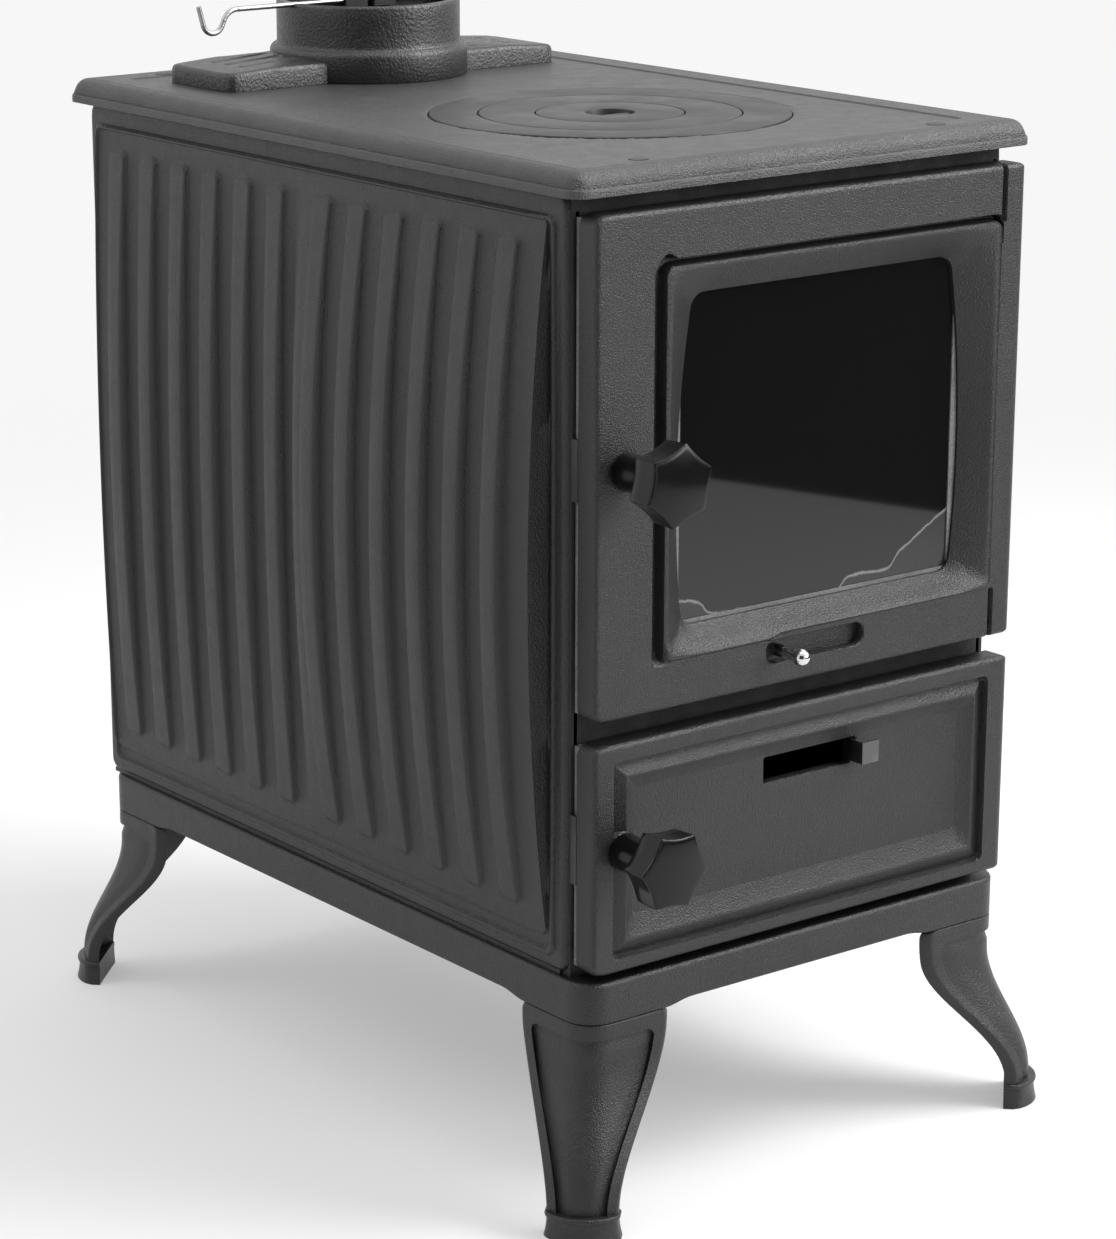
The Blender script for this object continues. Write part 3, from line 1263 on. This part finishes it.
# %% [markdown]
# ## Knobs
#
# A knob is a hexagon of black enamel with hollow flanks on a round neck. Every
# ring of it is the same curve between a circle and the hollow hexagon, only
# larger or smaller and further out, and the narrow rings at the front rim
# are what gives the thin bright lines along its edges.

# %% Knobs
KNOB_X = FIRE_KNOB[0]     # both knobs stand in one line
KNOB_R = 26.0
KNOB_BOW = 1.4            # how far a flank curves in
KNOB_OUT = 52.0           # from the door's face to the knob's front
HEAD_L = 22.0
NECK_R = 12.0
KNOB_CROWN = 2.4          # how far the face falls from its middle to its corners


def knob_ring(out, size, hexagon, crown, angle, turn, z):
    """One ring of a knob: size is its corner radius, hexagon goes from 0, a circle, to 1.

    A flank's radius is that of a straight side less a parabola that hollows it.
    The crown falls with the square of the radius.
    """
    lean = np.mod(angle - turn, math.pi / 3) - math.pi / 6
    flat = KNOB_R * math.cos(math.pi / 6) / np.cos(lean)
    hollow = KNOB_BOW * (1 - (np.tan(lean) / math.tan(math.pi / 6)) ** 2)
    corner = np.minimum((flat - hollow) / KNOB_R, 0.988)
    r = size * (1 - hexagon + hexagon * corner)
    y = Y_FACE - out + crown * KNOB_CROWN * (r / KNOB_R) ** 2
    return np.stack([KNOB_X + r * np.cos(angle), y, z + r * np.sin(angle)], -1)


def add_knob(name, z, turn_deg, body):
    """Six-sided knob on a round neck, with its corners at turn_deg and every 60 degrees on."""
    turn = math.radians(turn_deg)
    angle = turn + np.linspace(0, 2 * math.pi, 120, endpoint=False)
    head = KNOB_OUT - HEAD_L
    neck = [(0.6, NECK_R - 0.8, 0), (1.2, NECK_R, 0), (12.0, NECK_R - 0.6, 0), (head - 4, NECK_R - 0.4, 0),
            (head - 1.2, NECK_R + 0.8, 0), (head - 0.2, NECK_R + 2.6, 0.2), (head, 19.0, 0.9)]
    flanks = [(head + 0.2, 23.6, 1), (head + 0.7, 24.6, 1), (head + 1.4, 25.0, 1), (head + 8, 25.4, 1),
              (head + 15, 25.7, 1), (KNOB_OUT - 4.2, 25.9, 1)]
    face = [(KNOB_OUT - 1.0, 26.0, 1), (KNOB_OUT - 0.5, 25.85, 1), (KNOB_OUT - 0.15, 25.5, 1),
            (KNOB_OUT, 24.9, 1), (KNOB_OUT, 22.0, 1), (KNOB_OUT, 17.0, 0.9), (KNOB_OUT, 11.0, 0.6),
            (KNOB_OUT, 5.0, 0.3), (KNOB_OUT, 1.5, 0)]
    rings = [knob_ring(*step, crown, angle, turn, z) for part, crown in ((neck, 0), (flanks, 0), (face, 1))
             for step in part]
    points, faces = ring_body(rings)
    add_mesh(name + "_skin", points, faces, "gloss", body, name, sharp=30.0)


add_knob("fire_knob", FIRE_KNOB[1], 19.5, "fire_latch")
add_knob("ash_knob", ASH_KNOB[1], 55.0, "ash_latch")

# %% [markdown]
# ## Top plate
#
# The top is a flat casting with a moulded edge: a lip, a fine step, a quarter
# round and a second fine line. All of these follow the distance from the
# plate's outline, so the corners come out mitred and round by themselves. A
# thin line runs round the field that the rings lie in.

# %% Top plate
PLATE_CORNER = 12.5
LIP_H = 5.5
LIP_IN = 2.0
CROWN_R = 10.0
FIELD_IN = 33.0
FIELD_DROP = 0.8
COOK_R = 117.8
LEDGE_R = 111.0
FLUE_Y = 449.5
FLUE_R = 57.0
SCREW_PLACES = ((-120.0, 4.0), (120.0, 4.0), (-120.0, 527.0), (120.0, 527.0))
SCREW_R = 6.3
plate_top = plate_high[2]
plate_thick = plate_high[2] - plate_low[2]
field_top = plate_top - FIELD_DROP


def plate_distance(x, y):
    """Signed distance to the plate's outline, negative inside."""
    return box_distance(x, y, (plate_low[0], plate_low[1], plate_high[0], plate_high[1]), PLATE_CORNER)


def fine_line(distance, width, depth):
    """Soft groove of a width and depth along the line where a distance is zero."""
    return depth * np.exp(-(distance / width) ** 2)


def plate_surface(x, y):
    """Height of the plate's upper side over its lower side."""
    inside = -plate_distance(x, y)
    arc = np.clip(inside - LIP_IN, 0, CROWN_R)
    crown = LIP_H + 0.3 + np.sqrt(np.maximum(CROWN_R ** 2 - (CROWN_R - arc) ** 2, 0))
    lip = LIP_H - edge_roll(inside, 1.4) - fine_line(inside - LIP_IN, 0.35, 0.8)
    height = np.where(inside < LIP_IN, lip, np.minimum(crown, plate_thick))
    height = height - fine_line(inside - LIP_IN - CROWN_R - 0.3, 0.5, 0.5)
    field = box_distance(x, y, (plate_low[0] + FIELD_IN, plate_low[1] + FIELD_IN, plate_high[0] - FIELD_IN,
                                plate_high[1] - FIELD_IN), 2.0)
    height = height - FIELD_DROP * smooth(-field, -0.4, 0.4) - fine_line(field, 0.6, 0.6)
    rim = np.hypot(x, y - COOK_Y) - COOK_R
    return height - edge_roll(rim, 0.9)


def plate_outline(x, y):
    """Plan of the plate, less the cooktop's hole, the flue hole and the screw holes."""
    holes = [COOK_R - np.hypot(x, y - COOK_Y), FLUE_R - np.hypot(x, y - FLUE_Y)]
    holes += [SCREW_R - np.hypot(x - a, y - b) for a, b in SCREW_PLACES]
    return np.maximum.reduce([plate_distance(x, y)] + holes)


def add_top_plate():
    """The plate's slab, and the ledge under the cooktop's outer ring."""
    edge = np.array([0.0, 0.5, 1.0, 1.5, 1.9, 2.3, 2.8, 3.5, 4.4, 5.5, 6.8, 8.2, 9.6, 11.0, 12.0, 12.4, 13.0,
                     14.2, 16.0, FIELD_IN - 2.0, FIELD_IN - 1.0, FIELD_IN - 0.4, FIELD_IN, FIELD_IN + 0.4,
                     FIELD_IN + 1.0, FIELD_IN + 2.0])
    lines = []
    for low, high, fine in ((plate_low[0], plate_high[0], (-120.0, 120.0)),
                            (plate_low[1], plate_high[1], (4.0, 527.0))):
        ends = np.concatenate([low + edge, high - edge])
        holes = np.concatenate([place + np.arange(-9.0, 9.1, 1.5) for place in fine])
        middle = np.arange(low + FIELD_IN + 4, high - FIELD_IN - 3, 4.0)
        rows = np.sort(np.concatenate([ends, holes, middle]))
        lines.append(rows[np.concatenate([[True], np.diff(rows) > 0.25])])
    body = slab(lines[0], lines[1], plate_surface, level(0.0), lying(plate_low[2]), plate_outline)
    low, high = plate_low[2], field_top - 9.0
    ledge = lathe(rounded([(LEDGE_R, low), (COOK_R + 0.6, low), (COOK_R + 0.6, high), (LEDGE_R, high)], 0.6),
                  (0.0, COOK_Y))
    points, faces = joined(body, ledge)
    add_mesh("top_plate_skin", points, faces, "paint_top", "stove", "top_plate")


add_top_plate()

# %% [markdown]
# ## Cooktop rings and lid
#
# The rings are turned on a lathe, so each is a small profile swept round the
# cooktop's middle. Their upper edges are rounded, which is why the gaps
# between them show as dark lines from any side. The lid has a round recess for
# the lifter with a bar left standing across it.

# %% Cooktop
RING_T = 9.0
RING_GAP = 0.8
RING_LEDGE = 6.0
RING_R = (117.0, 85.0, 48.0)
LIFT_R = 16.0
LIFT_D = 5.0
BAR = (16.5, 3.0, 3.2)    # half length, half width and height of the lifter's bar


def ring_profile(outer, inner, last=False):
    """Stepped profile of one ring; heights from the ring's underside."""
    half = RING_T / 2
    start = outer if last else outer - RING_LEDGE - 1
    points = [(start, 0.0)]
    if not last:
        points += [(start, half), (outer, half)]
    return points + [(outer, RING_T), (inner + RING_GAP, RING_T), (inner + RING_GAP, half),
                     (inner - RING_LEDGE, half), (inner - RING_LEDGE, 0.0)]


def add_rings():
    """Outer ring, middle ring and lid."""
    low = field_top - RING_T
    outer, middle = ring_profile(RING_R[0], RING_R[1], True), ring_profile(RING_R[1], RING_R[2])
    for name, profile, body in (("cooktop_outer_ring", outer, "outer_ring"),
                                ("cooktop_middle_ring", middle, "middle_ring")):
        profile = [(r, low + z) for r, z in rounded(profile, 0.9)]
        points, faces = lathe(profile, (0.0, COOK_Y), around=180)
        add_mesh(name + "_skin", points, faces, "turned", body, name)
    r, half = RING_R[2], RING_T / 2
    rim = r - RING_LEDGE - 1
    edge = [(rim, 0.0), (rim, half), (r, half), (r, RING_T - 0.8), (r - 0.25, RING_T - 0.25),
            (r - 0.8, RING_T), (LIFT_R + 0.8, RING_T), (LIFT_R + 0.2, RING_T - 0.2), (LIFT_R, RING_T - 0.8),
            (LIFT_R - 0.6, RING_T - LIFT_D + 0.6), (LIFT_R - 1.6, RING_T - LIFT_D), (0.5, RING_T - LIFT_D)]
    profile = [(0.5, low), (rim * 0.5, low)] + [(a, low + b) for a, b in edge]
    lid = lathe(profile, (0.0, COOK_Y), closed=False, around=180)
    bar = slab(np.linspace(-BAR[0], BAR[0], 12), np.linspace(-BAR[1], BAR[1], 9),
               lambda x, y: BAR[2] - edge_roll(BAR[1] - np.abs(y), 1.6), level(-0.5),
               lying(field_top - LIFT_D, COOK_Y),
               lambda x, y: np.maximum(np.hypot(x, y) - LIFT_R - 0.3, np.abs(y) - BAR[1]))
    points, faces = joined(lid, bar)
    add_mesh("cooktop_lid_skin", points, faces, "turned", "lid", "cooktop_lid")


add_rings()

# %% [markdown]
# ## Flue collar
#
# The collar is turned too: a foot, a soft shoulder and a rim with two notches
# that the damper's wire lies in. The notches only lower the rim's upper points
# near the wire. The two saddle arms are height fields over their plan, lower
# towards their ends and sides, with three soft grooves each.

# %% Flue collar
COLLAR_R = 69.0
SPIGOT_R = 64.0
SHOULDER_H = 21.5
RIM_H = 51.5
ARM_REACH = 139.0
ARM_Y = 453.5
ARM_HALF = 39.0
ARM_TOP = (17.5, 12.0)    # height beside the collar and at the end
ARM_CORNER = 8.0
GROOVES = (-17.0, 0.0, 17.0)
NOTCH_HALF = 2.2
NOTCH_D = 2.6


def collar_rings():
    """Rings of the turned collar, from the foot inside, over the rim, and back down."""
    h, r = RIM_H, SPIGOT_R
    outside = [(COLLAR_R - 0.6, 0.0), (COLLAR_R, 0.8), (COLLAR_R, SHOULDER_H - 4.5),
               (COLLAR_R - 0.3, SHOULDER_H - 3.0), (COLLAR_R - 1.2, SHOULDER_H - 1.4),
               (COLLAR_R - 2.4, SHOULDER_H - 0.4), (COLLAR_R - 3.2, SHOULDER_H - 0.7),
               (r + 0.9, SHOULDER_H - 0.2), (r + 0.25, SHOULDER_H + 1.2), (r, SHOULDER_H + 3.0),
               (r, SHOULDER_H + 12.0), (r, h - 8.0), (r, h - 2.0)]
    rim = [(r - 0.3, h - 0.9), (r - 1.2, h), (r - 3.5, h), (FLUE_R + 1.2, h), (FLUE_R + 0.3, h - 0.9)]
    inside = [(FLUE_R, h - 2.0), (FLUE_R, h - 6.0), (FLUE_R, 20.0), (FLUE_R, 0.0)]
    angle = np.linspace(0, 2 * math.pi, 360, endpoint=False)
    near = np.abs(SPIGOT_R * np.sin(angle))      # distance from the wire's line
    rings = []
    for radius, height in outside + rim + inside:
        drop = np.where(near < NOTCH_HALF, np.maximum(height - (h - NOTCH_D), 0), 0)
        rings.append(np.stack([radius * np.cos(angle), FLUE_Y + radius * np.sin(angle),
                               field_top + height - drop], -1))
    return np.array(rings)


def arm_height(x, y):
    """Height of a saddle arm over the field.

    It falls evenly to its end and softly to its sides, its edges are round, and
    each groove is a parabola across the arm that runs out towards both ends.
    """
    away = np.abs(x)
    fall = ARM_TOP[0] - (ARM_TOP[0] - ARM_TOP[1]) * (away - FLUE_R) / (ARM_REACH - FLUE_R)
    side = ARM_HALF - np.abs(y - ARM_Y)
    height = np.minimum(fall, 14.5 + 3.0 * smooth(side, 2.0, 20.0))
    edge = np.minimum(side, ARM_REACH - away)
    corner = -box_distance(away, y, (0.0, ARM_Y - ARM_HALF, ARM_REACH, ARM_Y + ARM_HALF), ARM_CORNER)
    height = height - edge_roll(np.minimum(edge, corner), 3.4)
    run = smooth(away, COLLAR_R + 1, COLLAR_R + 6) * (1 - smooth(away, ARM_REACH - 28, ARM_REACH - 21))
    for middle in GROOVES:
        height = height - 2.2 * run * np.clip(1 - ((y - ARM_Y - middle) / 3.6) ** 2, 0, 1) ** 0.7
    return height


def add_collar():
    """Collar and both arms as one casting."""
    bodies = [ring_body(collar_rings(), closed=True)]
    for side in (-1, 1):
        box = (0.0, ARM_Y - ARM_HALF, ARM_REACH, ARM_Y + ARM_HALF)
        across = np.sort(side * grid_lines(52.0, ARM_REACH, 4.0, [COLLAR_R, ARM_REACH - 24, ARM_REACH]))
        marks = [box[1], box[3]] + [ARM_Y + groove + s for groove in GROOVES for s in (-3, 0, 3)]
        up = grid_lines(box[1], box[3], 4.0, marks, near=(0.0, 0.7, 1.5, 2.5, 3.6))
        bodies.append(slab(across, up, arm_height, level(0.0), lying(field_top),
                           lambda x, y: np.maximum(box_distance(np.abs(x), y, box, ARM_CORNER),
                                                   FLUE_R + 3 - np.hypot(x, y - FLUE_Y))))
    points, faces = joined(*bodies)
    add_mesh("flue_collar_skin", points, faces, "collar", "stove", "flue_collar")


add_collar()

# %% Last cell
box_lists = {"cad": [list(map(float, corner)) for corner in cad_bounds],
             "scene": [list(map(float, corner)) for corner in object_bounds()]}
print("box in metres:", box_lists["scene"])
